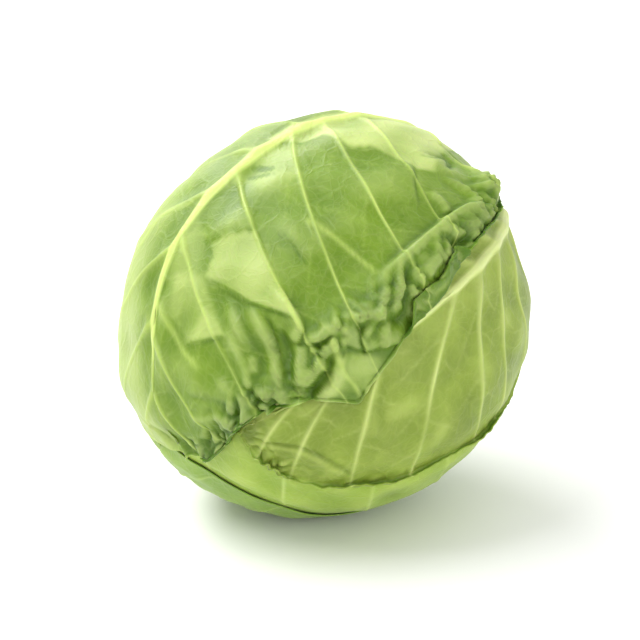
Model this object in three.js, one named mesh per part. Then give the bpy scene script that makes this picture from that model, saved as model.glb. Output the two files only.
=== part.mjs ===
// A head of white cabbage lying on its side: a dense heart, the cut stump that every leaf
// grows from, and the five large wrapper leaves that close round the heart.
// Millimetres, +Z up. The head rests on a small flat spot, and the origin is on the surface
// below the middle of its box. Its axis runs from the crown, low at the front left, to the
// stump, high at the back right.
import * as THREE from "three";
import { mergeVertices } from "three/addons/utils/BufferGeometryUtils.js";

// The head
const HEAD_MIDDLE = new THREE.Vector3(1.23, 3.56, 80.5);
const STUMP_WAY = new THREE.Vector3(0.7173, 0.5663, 0.4059).normalize();
const FRONT_WAY = new THREE.Vector3(-0.3756, -0.1763, 0.9099); // where the front leaf's rib runs
const HEART_ALONG = 84.6; // half the heart's length, towards the stump
const HEART_ACROSS = 78.6; // half its width
const DIMPLE_DEPTH = 6; // the hollow round the stump
const DIMPLE_SPREAD = 20; // degrees

// Unevenness of the whole head: degrees from the stump, degrees round, spread, height
const SWELLS = [
  [60, 60, 34, 1.2],
  [100, 20, 26, -1.6],
  [140, -40, 30, 1.4],
  [95, 105, 28, 1.5],
  [135, 150, 26, -1.2],
  [90, 230, 34, 1.3],
  [60, 290, 30, -1.2],
  [165, 60, 22, 1.0],
  [36, 113, 26, -2.6],
  [152, 255, 34, -3.4],
  [50, -14, 24, 1.6],
];

// The blades
const PLANE_RADIUS = 86; // a leaf's flat plan is wrapped round a ball of this radius
const BLADE = 1.1; // thickness
const CELL = 11.5; // the widest facet
const GAP = 1.1; // between one leaf and the next
const LAYER = BLADE + GAP;
const COVER_REACH = 8; // an outer leaf lies at its full height this far past an inner leaf's edge
const DRAPE = 18; // and then sinks to the next layer over this width
const PRESS_START = 34; // ribs and waves sink this far before an outer leaf's edge
const PRESS_END = 17;
const FLOOR_CLEAR = 13; // and this far above the surface that the head rests on
const REST_BLEND = 2.3; // how softly the flat spot meets the round of the head

// Ribs
const MIDRIB_HEIGHT = [4.6, 0.8]; // at the stump and at the tip
const MIDRIB_HALF = [11, 2.2];
const VEIN_HEIGHT = [1.5, 0.3]; // at the midrib and at the edge
const VEIN_HALF = [2.6, 1.2];
const VEIN_FEET = 0.15; // a side vein's feet, as a share of the way to the next vein
const HEM_PUCKERS = 5.4; // how fast the hem swells and sinks from vein to vein
const MIDRIB_STRAIGHT = 45; // y up to which a midrib runs straight
const MIDRIB_CURVE = 1.3; // how slowly it bends from there

// The stump
const STUMP_RADIUS = 14;
const STUMP_FROM = 79; // from the head's middle
const STUMP_TO = 92;
const COLLAR = 11.6; // degrees from the stump's middle to the leaf bases round it

const COLOURS = {
  front: 0x93b74d,
  right: 0x9bb55a,
  bottom: 0xa3bd5f,
  back: 0x97b654,
  left: 0xa8c268,
  heart: 0xc6d698,
  stump: 0xdfe2b8,
};

// Each wrapper leaf, from the inside out. turn is where its midrib lies round the stump, in
// degrees, and middle is how far from the stump its plan is centred. The plan is in mm: x
// across the leaf, towards a greater turn, and y along it, towards the tip. Each side vein
// is [y where it leaves the midrib, x and y where it meets the edge], from the stump to the
// tip. bend is how far the midrib strays sideways at the tip, and bow is how far a side vein
// bows towards the tip, as a share of its length.
// waves: [height on the right, height on the left, reach from the edge, number, phase]
// hem: [height near the stump, height near the tip, distance in from the edge, half width,
// first vein, last vein], on the right side only
const LEAVES = [
  {
    name: "left_leaf",
    turn: 290,
    middle: 98,
    bend: -6,
    bow: 0.07,
    tip: 118,
    colour: COLOURS.left,
    right: [
      [-131, 12, -136],
      [-112, 40, -114],
      [-90, 68, -76],
      [-62, 84, -34],
      [-34, 88, 4],
      [-4, 86, 42],
      [30, 70, 78],
      [66, 38, 106],
      [100, 4, 117],
    ],
    left: [
      [-131, -12, -136],
      [-112, -40, -114],
      [-90, -66, -78],
      [-62, -80, -36],
      [-34, -84, 2],
      [-4, -80, 40],
      [30, -66, 76],
      [66, -36, 104],
      [100, 4, 117],
    ],
    waves: [2.5, 2.5, 20, 5, 0.4],
  },
  {
    name: "bottom_leaf",
    turn: 180,
    middle: 100,
    bend: -8,
    bow: 0.07,
    tip: 142,
    colour: COLOURS.bottom,
    right: [
      [-134, 12, -139],
      [-114, 38, -116],
      [-90, 60, -80],
      [-60, 74, -40],
      [-28, 78, 4],
      [6, 76, 48],
      [42, 66, 88],
      [80, 40, 122],
      [122, 2, 141],
    ],
    left: [
      [-134, -12, -139],
      [-114, -46, -118],
      [-90, -84, -84],
      [-60, -98, -38],
      [-28, -102, 6],
      [6, -98, 50],
      [42, -85, 97],
      [80, -44, 133],
      [122, 2, 141],
    ],
    waves: [2.5, 2.5, 18, 6, 1.9],
  },
  {
    name: "right_leaf",
    turn: 74.2,
    middle: 95,
    bend: 0,
    bow: 0.07,
    tip: 86,
    colour: COLOURS.right,
    right: [
      [-126, 12, -132],
      [-112, 38, -116],
      [-96, 63, -86],
      [-78, 78, -52],
      [-61, 80, -24],
      [-42, 77, -6],
      [-24, 66, 30],
      [12, 53, 56],
      [34, 34, 77],
      [56, 16, 83],
      [76, 2, 86],
    ],
    left: [
      [-126, -12, -132],
      [-112, -38, -116],
      [-96, -60, -88],
      [-78, -72, -58],
      [-61, -76, -30],
      [-42, -76, -2],
      [-24, -68, 28],
      [12, -54, 54],
      [34, -34, 74],
      [56, -16, 83],
      [76, 2, 86],
    ],
    waves: [2.2, 1.5, 16, 7, 0.9],
    hem: [1.8, 1.8, 7, 5, 2.5, 8.5],
  },
  {
    name: "back_leaf",
    turn: 228,
    middle: 100,
    bend: 8,
    bow: 0.07,
    tip: 124,
    colour: COLOURS.back,
    right: [
      [-134, 12, -139],
      [-114, 36, -117],
      [-90, 58, -82],
      [-60, 71, -44],
      [-28, 75, -2],
      [6, 73, 38],
      [40, 64, 76],
      [76, 40, 106],
      [110, 10, 123],
    ],
    left: [
      [-134, -12, -139],
      [-114, -42, -118],
      [-90, -74, -76],
      [-60, -95, -26],
      [-28, -97, 20],
      [6, -88, 58],
      [40, -70, 96],
      [76, -34, 119],
      [110, 10, 123],
    ],
    waves: [2.2, 2.2, 20, 5, 2.6],
  },
  {
    name: "front_leaf",
    turn: 0,
    middle: 100,
    bend: 17,
    bow: 0.01,
    tip: 124,
    colour: COLOURS.front,
    right: [
      [-134, 12, -139],
      [-120, 46, -122],
      [-98, 83, -85],
      [-72, 101, -40],
      [-54, 112, -6],
      [-38, 113, 40],
      [-6, 103, 60],
      [30, 64, 83],
      [72, 45, 107],
      [92, 27, 120],
      [114, 17, 124],
    ],
    left: [
      [-134, -12, -139],
      [-120, -40, -118],
      [-98, -70, -86],
      [-72, -86, -46],
      [-46, -93, -8],
      [-20, -92, 30],
      [8, -84, 62],
      [36, -64, 90],
      [66, -38, 108],
      [92, -12, 119],
      [114, 17, 124],
    ],
    waves: [5.5, 2, 22, 8, 0.2],
    hem: [9, 4.5, 14, 10, 0.9, 7.6],
  },
];

// Small curves that every part uses
const clamp01 = (t) => Math.min(1, Math.max(0, t));
const smooth = (from, to, value) => {
  const t = clamp01((value - from) / (to - from));
  return t * t * (3 - 2 * t);
};
const blend = ([a, b], t) => a + (b - a) * t;
const hump = (value, half) => Math.exp(-((value / half) ** 2));
const { degToRad, radToDeg } = THREE.MathUtils;

// The directions that turns round the stump are counted in
const way0 = FRONT_WAY.clone()
  .addScaledVector(STUMP_WAY, -FRONT_WAY.dot(STUMP_WAY))
  .normalize();
const way90 = new THREE.Vector3().crossVectors(STUMP_WAY, way0);

function direction(fromStump, turn) {
  const round = way0
    .clone()
    .multiplyScalar(Math.cos(degToRad(turn)))
    .addScaledVector(way90, Math.sin(degToRad(turn)));
  return STUMP_WAY.clone()
    .multiplyScalar(Math.cos(degToRad(fromStump)))
    .addScaledVector(round, Math.sin(degToRad(fromStump)));
}

const degreesBetween = (a, b) =>
  radToDeg(Math.acos(THREE.MathUtils.clamp(a.dot(b), -1, 1)));

const swells = SWELLS.map(([fromStump, turn, spread, height]) => ({
  way: direction(fromStump, turn),
  spread,
  height,
}));

// The heart's radius in direction n
function heartRadius(n) {
  const axial = n.dot(STUMP_WAY);
  let r =
    1 /
    Math.sqrt(
      (axial / HEART_ALONG) ** 2 + (1 - axial * axial) / HEART_ACROSS ** 2,
    );
  r -= DIMPLE_DEPTH * hump(degreesBetween(n, STUMP_WAY), DIMPLE_SPREAD);
  for (const s of swells) r += s.height * hump(degreesBetween(n, s.way), s.spread);
  return r;
}

// A leaf's plan, wrapped round the head
for (const leaf of LEAVES) {
  leaf.centre = direction(leaf.middle, leaf.turn);
  leaf.along = direction(leaf.middle + 90, leaf.turn);
  leaf.across = new THREE.Vector3().crossVectors(STUMP_WAY, leaf.centre).normalize();
}

function planToDirection(leaf, x, y) {
  const length = Math.max(Math.hypot(x, y), 1e-9);
  const angle = length / PLANE_RADIUS;
  const n = leaf.centre
    .clone()
    .multiplyScalar(Math.cos(angle))
    .addScaledVector(leaf.across, (Math.sin(angle) * x) / length)
    .addScaledVector(leaf.along, (Math.sin(angle) * y) / length);
  return clearOfStump(n);
}

// The bases of the leaves stop at a collar round the stump
function clearOfStump(n) {
  const fromStump = degreesBetween(n, STUMP_WAY);
  if (fromStump >= COLLAR) return n;
  const round = n.clone().addScaledVector(STUMP_WAY, -n.dot(STUMP_WAY)).normalize();
  return STUMP_WAY.clone()
    .multiplyScalar(Math.cos(degToRad(COLLAR)))
    .addScaledVector(round, Math.sin(degToRad(COLLAR)));
}

function directionToPlan(leaf, n) {
  const angle = Math.acos(THREE.MathUtils.clamp(n.dot(leaf.centre), -1, 1));
  const x = n.dot(leaf.across);
  const y = n.dot(leaf.along);
  const scale = (PLANE_RADIUS * angle) / Math.max(Math.hypot(x, y), 1e-9);
  return [x * scale, y * scale];
}

// A smooth curve through a list of rows of numbers, read at t from 0 to the last row
function through(rows, t) {
  const last = rows.length - 1;
  const i = Math.min(Math.floor(t), last - 1);
  const f = t - i;
  const p = [i - 1, i, i + 1, i + 2].map((k) => rows[Math.min(last, Math.max(0, k))]);
  return p[1].map((value, k) => {
    const [a, b, c, d] = p.map((row) => row[k]);
    return (
      value +
      0.5 *
        f *
        (c - a + f * (2 * a - 5 * b + 4 * c - d + f * (3 * (b - c) + d - a)))
    );
  });
}

// The midrib's x at a given y: straight, then bent over the last third
function midribX(leaf, y) {
  return leaf.bend * clamp01((y - MIDRIB_STRAIGHT) / (leaf.tip - MIDRIB_STRAIGHT)) ** MIDRIB_CURVE;
}

// Where the line that leaves the midrib at vein number v starts and ends, in the plan
function veinEnds(leaf, side, v) {
  const [y, endX, endY] = through(leaf[side], v);
  return { start: [midribX(leaf, y), y], end: [endX, endY] };
}

function planPoint(leaf, side, v, u) {
  const { start, end } = veinEnds(leaf, side, v);
  const across = end[0] - start[0];
  const along = end[1] - start[1];
  const bow = 4 * leaf.bow * u * (1 - u) * Math.sign(across);
  return [start[0] + across * u - along * bow, start[1] + along * u + across * bow];
}

// A leaf's edge as a closed polygon, and how far inside it a point of the plan lies
const EDGE_STEPS = 3; // polygon points from one vein to the next
for (const leaf of LEAVES) {
  const count = (leaf.right.length - 1) * EDGE_STEPS;
  const points = [];
  for (let i = 0; i <= count; i++) points.push(veinEnds(leaf, "right", i / EDGE_STEPS).end);
  for (let i = count; i >= 0; i--) points.push(veinEnds(leaf, "left", i / EDGE_STEPS).end);
  leaf.edge = points;
}

function insideEdge(leaf, [x, y]) {
  let nearest = Infinity;
  let inside = false;
  leaf.edge.forEach(([bx, by], i) => {
    const [ax, ay] = leaf.edge[(i + leaf.edge.length - 1) % leaf.edge.length];
    const dx = bx - ax;
    const dy = by - ay;
    const t = clamp01(((x - ax) * dx + (y - ay) * dy) / Math.max(dx * dx + dy * dy, 1e-9));
    nearest = Math.min(nearest, Math.hypot(ax + dx * t - x, ay + dy * t - y));
    if (ay > y !== by > y && x < ax + ((y - ay) / (by - ay)) * dx) inside = !inside;
  });
  return inside ? nearest : -nearest;
}

// How the leaves lie on each other in direction n: the radius of the underside of leaf
// number k, how open its outside is, and the radius of the whole head
function layersAt(n, k) {
  let under = heartRadius(n) + GAP;
  let whole = under;
  let open = 1;
  LEAVES.forEach((leaf, j) => {
    const inside = insideEdge(leaf, directionToPlan(leaf, n));
    const cover = j === k ? 1 : smooth(-COVER_REACH - DRAPE, -COVER_REACH, inside);
    if (j < k) under += LAYER * cover;
    if (j > k) open *= 1 - smooth(-PRESS_START, -PRESS_END, inside);
    whole += LAYER * cover;
  });
  whole -= GAP;
  return { under, open: open * airy(n, whole), whole };
}

// 1 well above the surface that the head rests on, and 0 next to it
function airy(n, whole) {
  const depth = -n.z * whole;
  return 1 - smooth(HEAD_MIDDLE.z - FLOOR_CLEAR, HEAD_MIDDLE.z - 2, depth);
}

// The radius r in direction n, pressed flat where the head rests
function settled(n, r, whole) {
  if (n.z > -0.5) return r;
  const flat = (HEAD_MIDDLE.z - (whole - r)) / -n.z;
  const near = Math.max(REST_BLEND - Math.abs(flat - r), 0);
  return Math.min(flat, r) - near ** 2 / (4 * REST_BLEND);
}

const place = (n, r) => HEAD_MIDDLE.clone().addScaledVector(n, r);

// How far the blade stands off what it covers: waves along its edge, and a rolled hem
function lift(leaf, side, v, fromEdge) {
  const [rightHeight, leftHeight, reach, number, phase] = leaf.waves;
  const height = side === "right" ? rightHeight : leftHeight;
  const veins = leaf.right.length - 1;
  const angle = (2 * Math.PI * number * v) / veins + phase + (side === "left" ? 2 : 0);
  const wave = height * clamp01(1 - fromEdge / reach) ** 2 * (0.55 + 0.45 * Math.sin(angle));
  if (!leaf.hem || side === "left") return wave;
  const [stumpRise, tipRise, inset, half, first, last] = leaf.hem;
  const rise = blend([stumpRise, tipRise], smooth(first, last, v));
  const ends = smooth(first - 1, first + 0.5, v) * (1 - smooth(last - 0.5, last + 1, v));
  const pucker = 0.65 + 0.35 * Math.sin(HEM_PUCKERS * v);
  return wave + rise * ends * pucker * hump(fromEdge - inset, half);
}

// How far the midrib and the side veins stand out of the blade's outside
function rib(leaf, side, v, u) {
  const { start, end } = veinEnds(leaf, side, v);
  const veins = leaf.right.length - 1;
  const length = Math.hypot(end[0] - start[0], end[1] - start[1]);
  const share = v / veins;
  const fromMidrib = Math.abs(end[0] - start[0]) * u;
  const midrib = blend(MIDRIB_HEIGHT, share ** 0.6) * hump(fromMidrib, midribHalf(share));
  const offset = Math.abs(v - Math.round(v));
  const next = planPoint(leaf, side, Math.min(v + 0.1, veins), u);
  const here = planPoint(leaf, side, Math.max(v - 0.1, 0), u);
  const pitch = Math.hypot(next[0] - here[0], next[1] - here[1]) / 0.2;
  const isVein = Math.round(v) > 0 && Math.round(v) < veins && length > 1;
  const vein = isVein
    ? blend(VEIN_HEIGHT, u) * hump(offset * pitch, blend(VEIN_HALF, u))
    : 0;
  return Math.max(midrib, vein);
}

const midribHalf = (share) => blend(MIDRIB_HALF, share ** 0.6) * 0.6;

const widest = (leaf) => Math.max(...leaf.edge.map(([x]) => Math.abs(x)));

// A wrapper leaf as one closed blade. Rows follow the side veins, so each vein is a crest,
// and columns run from the midrib to its foot and on to the edge, on both sides.
function leafGeometry(leaf, k) {
  const veins = leaf.right.length - 1;
  const rows = [];
  for (let i = 0; i < veins; i++) rows.push(i, i + VEIN_FEET, i + 0.5, i + 1 - VEIN_FEET);
  rows.push(veins);
  const columns = 1 + Math.ceil(widest(leaf) / CELL);
  const outer = [];
  const inner = [];

  const addVertex = (side, v, column) => {
    const { start, end } = veinEnds(leaf, side, v);
    const length = Math.max(Math.hypot(end[0] - start[0], end[1] - start[1]), 1e-6);
    const foot = Math.min(midribHalf(v / veins) * 1.7, 0.25 * length) / length;
    const outwards = Math.max(column - 1, 0) / (columns - 1);
    const finer = outwards * (1.12 - 0.12 * outwards);
    const u = column === 0 ? 0 : foot + (1 - foot) * finer;
    const [x, y] = planPoint(leaf, side, v, u);
    const n = planToDirection(leaf, x, y);
    const { under, open, whole } = layersAt(n, k);
    const low = under + open * lift(leaf, side, v, (1 - u) * length);
    const high = low + BLADE + open * rib(leaf, side, v, u);
    inner.push(place(n, settled(n, low, whole)));
    outer.push(place(n, settled(n, high, whole)));
    return outer.length - 1;
  };

  // Vertex numbers by row, from the left edge to the right one. Both sides meet at the tip.
  const grid = rows.map((v) => {
    const right = [];
    for (let c = 0; c <= columns; c++) right.push(addVertex("right", v, c));
    if (v === veins) return [...right.slice(1).reverse(), ...right];
    const left = [];
    for (let c = columns; c >= 1; c--) left.push(addVertex("left", v, c));
    return [...left, ...right];
  });

  const faces = [];
  const inside = outer.length;
  const quad = (a, b, c, d, flip) => {
    const cuts = flip ? [[a, b, d], [b, c, d]] : [[a, b, c], [a, c, d]];
    for (const [p, q, r] of cuts) {
      faces.push([p, r, q]);
      faces.push([p + inside, q + inside, r + inside]);
    }
  };
  for (let i = 0; i + 1 < grid.length; i++)
    for (let c = 0; c < 2 * columns; c++)
      quad(grid[i][c], grid[i][c + 1], grid[i + 1][c + 1], grid[i + 1][c], c < columns);

  // The wall round the edge
  const border = [...grid[0]];
  for (let i = 1; i < grid.length; i++) border.push(grid[i][2 * columns]);
  for (let i = grid.length - 2; i >= 1; i--) border.push(grid[i][0]);
  border.forEach((a, i) => {
    const b = border[(i + 1) % border.length];
    faces.push([a, b, b + inside], [a, b + inside, a + inside]);
  });
  return solidGeometry([...outer, ...inner], faces);
}

function solidGeometry(points, faces) {
  const geometry = new THREE.BufferGeometry().setFromPoints(
    faces.flatMap((face) => face.map((i) => points[i])),
  );
  const merged = mergeVertices(geometry, 1e-4);
  merged.computeVertexNormals();
  return merged;
}

// The heart: a dense ball of inner leaves, with the edges of its own outermost leaves as
// low steps that wind round it
const HEART_RINGS = 16;
const HEART_SIDES = 26;
const STEP_DEPTH = 1.6;

function heartStep(fromStump, turn) {
  const wound = turn / 120 + fromStump / 150;
  return STEP_DEPTH * (wound - Math.floor(wound)) ** 3;
}

function heartGeometry() {
  const points = [];
  const faces = [];
  const ring = (i, j) => 1 + (i - 1) * HEART_SIDES + (j % HEART_SIDES);
  const add = (fromStump, turn) => {
    const n = direction(fromStump, turn);
    const { whole } = layersAt(n, -1);
    const poles = smooth(0, 30, fromStump) * smooth(180, 150, fromStump);
    const r = heartRadius(n) - heartStep(fromStump, turn) * poles;
    points.push(place(n, settled(n, r, whole)));
  };
  add(0, 0);
  for (let i = 1; i < HEART_RINGS; i++)
    for (let j = 0; j < HEART_SIDES; j++)
      add((180 * i) / HEART_RINGS, (360 * j) / HEART_SIDES);
  add(180, 0);
  const last = points.length - 1;
  for (let j = 0; j < HEART_SIDES; j++) {
    faces.push([0, ring(1, j), ring(1, j + 1)]);
    faces.push([last, ring(HEART_RINGS - 1, j + 1), ring(HEART_RINGS - 1, j)]);
    for (let i = 1; i + 1 < HEART_RINGS; i++) {
      faces.push([ring(i, j), ring(i + 1, j), ring(i + 1, j + 1)]);
      faces.push([ring(i, j), ring(i + 1, j + 1), ring(i, j + 1)]);
    }
  }
  return solidGeometry(points, faces);
}

// The stump: the stem, cut across just below the lowest leaves, with a slightly domed face
function stumpGeometry() {
  const profile = [
    [0, STUMP_FROM],
    [STUMP_RADIUS - 0.8, STUMP_FROM],
    [STUMP_RADIUS, STUMP_FROM + 1.5],
    [STUMP_RADIUS, STUMP_TO - 2.2],
    [STUMP_RADIUS - 1.2, STUMP_TO - 0.6],
    [STUMP_RADIUS - 5, STUMP_TO],
    [0, STUMP_TO - 0.5],
  ].map(([r, h]) => new THREE.Vector2(r, h));
  return new THREE.LatheGeometry(profile, 20);
}

function named(name, geometry, colour, roughness = 0.5) {
  const material = new THREE.MeshStandardMaterial({ color: colour, roughness, metalness: 0 });
  const mesh = new THREE.Mesh(geometry, material);
  mesh.name = name;
  return mesh;
}

const head = new THREE.Group();
head.name = "cabbage_head";
head.add(named("heart", heartGeometry(), COLOURS.heart));
LEAVES.forEach((leaf, k) => head.add(named(leaf.name, leafGeometry(leaf, k), leaf.colour)));

const stump = named("stump", stumpGeometry(), COLOURS.stump, 0.8);
stump.position.copy(HEAD_MIDDLE);
stump.quaternion.setFromUnitVectors(new THREE.Vector3(0, 1, 0), STUMP_WAY);
head.add(stump);

export default head;
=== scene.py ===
import math
import bpy
import numpy as np
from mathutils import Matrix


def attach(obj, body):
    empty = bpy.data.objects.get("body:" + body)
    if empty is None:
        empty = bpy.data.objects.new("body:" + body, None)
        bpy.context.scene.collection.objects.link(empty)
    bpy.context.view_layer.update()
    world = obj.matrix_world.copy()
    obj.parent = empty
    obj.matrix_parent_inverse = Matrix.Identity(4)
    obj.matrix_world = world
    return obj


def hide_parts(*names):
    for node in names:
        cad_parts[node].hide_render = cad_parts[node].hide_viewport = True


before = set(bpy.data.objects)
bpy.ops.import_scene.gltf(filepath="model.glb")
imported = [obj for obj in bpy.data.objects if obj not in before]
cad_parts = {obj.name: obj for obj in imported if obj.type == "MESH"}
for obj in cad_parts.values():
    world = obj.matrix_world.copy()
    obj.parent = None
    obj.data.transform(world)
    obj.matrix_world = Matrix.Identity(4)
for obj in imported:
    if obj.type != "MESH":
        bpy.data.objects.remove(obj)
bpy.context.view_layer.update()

# The heart
# The dense ball of packed inner leaves that every wrapper leaf lies round. It is the head's
# form: an egg a little longer towards the stump, with soft swells and a hollow at the stump.
# Lengths are in millimetres and angles in degrees, until a mesh is made in metres.
MM = 0.001
HEAD_MIDDLE = np.array([1.23, 3.56, 80.5])
STUMP_WAY = np.array([0.7173, 0.5663, 0.4059])
STUMP_WAY /= np.linalg.norm(STUMP_WAY)
FRONT_WAY = np.array([-0.3756, -0.1763, 0.9099])
FRONT_WAY -= STUMP_WAY * FRONT_WAY.dot(STUMP_WAY)
FRONT_WAY /= np.linalg.norm(FRONT_WAY)
SIDE_WAY = np.cross(STUMP_WAY, FRONT_WAY)
HEART_ALONG = 84.6
HEART_ACROSS = 78.6
DIMPLE_DEPTH = 6
DIMPLE_SPREAD = 20
# Degrees from the stump, degrees round it, spread and height of each swell
SWELLS = [
    (60, 60, 34, 1.2), (100, 20, 26, -1.6), (140, -40, 30, 1.4), (95, 105, 28, 1.5),
    (135, 150, 26, -1.2), (90, 230, 34, 1.3), (60, 290, 30, -1.2), (165, 60, 22, 1.0),
    (36, 113, 26, -2.6), (152, 255, 34, -3.4), (50, -14, 24, 1.6),
]
REST_BLEND = 2.3  # how softly the flat spot meets the round of the head
HEART_STEPS = 1.3  # depth of the overlaps of the heart's own outermost leaves
HEART_RINGS = 150
HEART_SIDES = 260


def direction(from_stump, turn):
    a, b = np.radians(from_stump), np.radians(turn)
    a, b = np.broadcast_arrays(a, b)
    round_way = np.cos(b)[..., None] * FRONT_WAY + np.sin(b)[..., None] * SIDE_WAY
    return np.cos(a)[..., None] * STUMP_WAY + np.sin(a)[..., None] * round_way


def smooth(start, end, value):
    t = np.clip((value - start) / (end - start), 0, 1)
    return t * t * (3 - 2 * t)


def over(start, full, fading, end, value):
    """1 from full to fading, falling to 0 at start and end."""
    return smooth(start, full, value) * (1 - smooth(fading, end, value))


def hump(value, half):
    return np.exp(-((value / half) ** 2))


def degrees_between(n, way):
    return np.degrees(np.arccos(np.clip(n @ way, -1, 1)))


def heart_radius(n):
    axial = n @ STUMP_WAY
    r = 1 / np.sqrt((axial / HEART_ALONG) ** 2 + (1 - axial ** 2) / HEART_ACROSS ** 2)
    r = r - DIMPLE_DEPTH * hump(degrees_between(n, STUMP_WAY), DIMPLE_SPREAD)
    for from_stump, turn, spread, height in SWELLS:
        r = r + height * hump(degrees_between(n, direction(from_stump, turn)), spread)
    return r


def settled(n, r, whole):
    """The radius r pressed flat where the head rests, under a head of radius whole."""
    down = np.maximum(-n[..., 2], 0.5)
    flat = (HEAD_MIDDLE[2] - (whole - r)) / down
    near = np.maximum(REST_BLEND - np.abs(flat - r), 0)
    return np.where(n[..., 2] < -0.5, np.minimum(flat, r) - near ** 2 / (4 * REST_BLEND), r)


class Ripples:
    """Smooth seeded unevenness in space, from -1 to 1, with lumps of a given size."""

    def __init__(self, seed, size, waves=14):
        draw = np.random.default_rng(seed)
        ways = draw.normal(size=(waves, 3))
        ways /= np.linalg.norm(ways, axis=1)[:, None]
        self.ways = ways * (2 * math.pi / size) * draw.uniform(0.6, 1.5, (waves, 1))
        self.phases = draw.uniform(0, 2 * math.pi, waves)
        self.scale = 1.6 / math.sqrt(waves)

    def __call__(self, x, y, z=0.0):
        total = 0.0
        for (a, b, c), phase in zip(self.ways, self.phases):
            total = total + np.sin(a * x + b * y + c * z + phase)
        return total * self.scale


def new_piece(name, points, faces):
    """A smoothly shaded object in metres, from points in millimetres."""
    mesh = bpy.data.meshes.new(name)
    mesh.from_pydata((points * MM).tolist(), [], faces)
    mesh.validate()
    mesh.polygons.foreach_set("use_smooth", [True] * len(mesh.polygons))
    piece = bpy.data.objects.new(name, mesh)
    bpy.context.scene.collection.objects.link(piece)
    return piece


def ringed_solid(name, rings, ends, flipped=False):
    """A closed solid of rings of points, one after another, with a point at either end."""
    sides = rings.shape[1]
    grid = np.arange(len(rings) * sides).reshape(-1, sides)
    ahead = np.roll(grid, -1, axis=1)
    quads = np.stack([q.ravel() for q in (grid[:-1], grid[1:], ahead[1:], ahead[:-1])], 1)
    first, last = np.full(sides, grid.size), np.full(sides, grid.size + 1)
    caps = np.concatenate([np.stack([first, grid[0], ahead[0]], 1),
                           np.stack([last, ahead[-1], grid[-1]], 1)])
    if flipped:
        quads, caps = quads[:, [0, 3, 2, 1]], caps[:, [0, 2, 1]]
    points = np.concatenate([rings.reshape(-1, 3), ends])
    return new_piece(name, points, quads.tolist() + caps.tolist()), points


def give_attribute(piece, name, values):
    kind = "FLOAT_VECTOR" if values.ndim == 2 else "FLOAT"
    layer = piece.data.attributes.new(name, kind, "POINT")
    layer.data.foreach_set("vector" if values.ndim == 2 else "value", values.ravel())


# Geometry of the five wrapper leaves, from the inside out
# Each grows from the stump, and its plan is drawn flat round its midrib and wrapped round
# the head. A leaf drapes over the edges of the ones beneath it, one layer above them.
PLANE_RADIUS = 86
BLADE = 0.8  # thickness of a leaf between its veins
LAYER = 2.2  # from one leaf to the next
CLEARANCE = 1.1
MARGIN_GAP = 0.25  # from a leaf's edge down to the leaf it lies on
COVER_REACH = 8  # past its edge, a leaf holds the ones over it up for this far
DRAPE = 18  # and over this width they come down again
LIE_DOWN = (16, 3)  # from its edge, where a leaf starts to lie down, and where it is down
THIN_EDGE = (6, 0.35)  # how wide a leaf's edge grows thin, and by how much of its thickness
COLLAR = 11.6  # degrees round the stump that leaves keep clear of
FLOOR_CLEAR = 13  # above the floor, ribs and folds fade out from here down
MIDRIB_STRAIGHT = 45  # the midrib bends sideways past this y
MIDRIB_CURVE = 1.3

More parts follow.
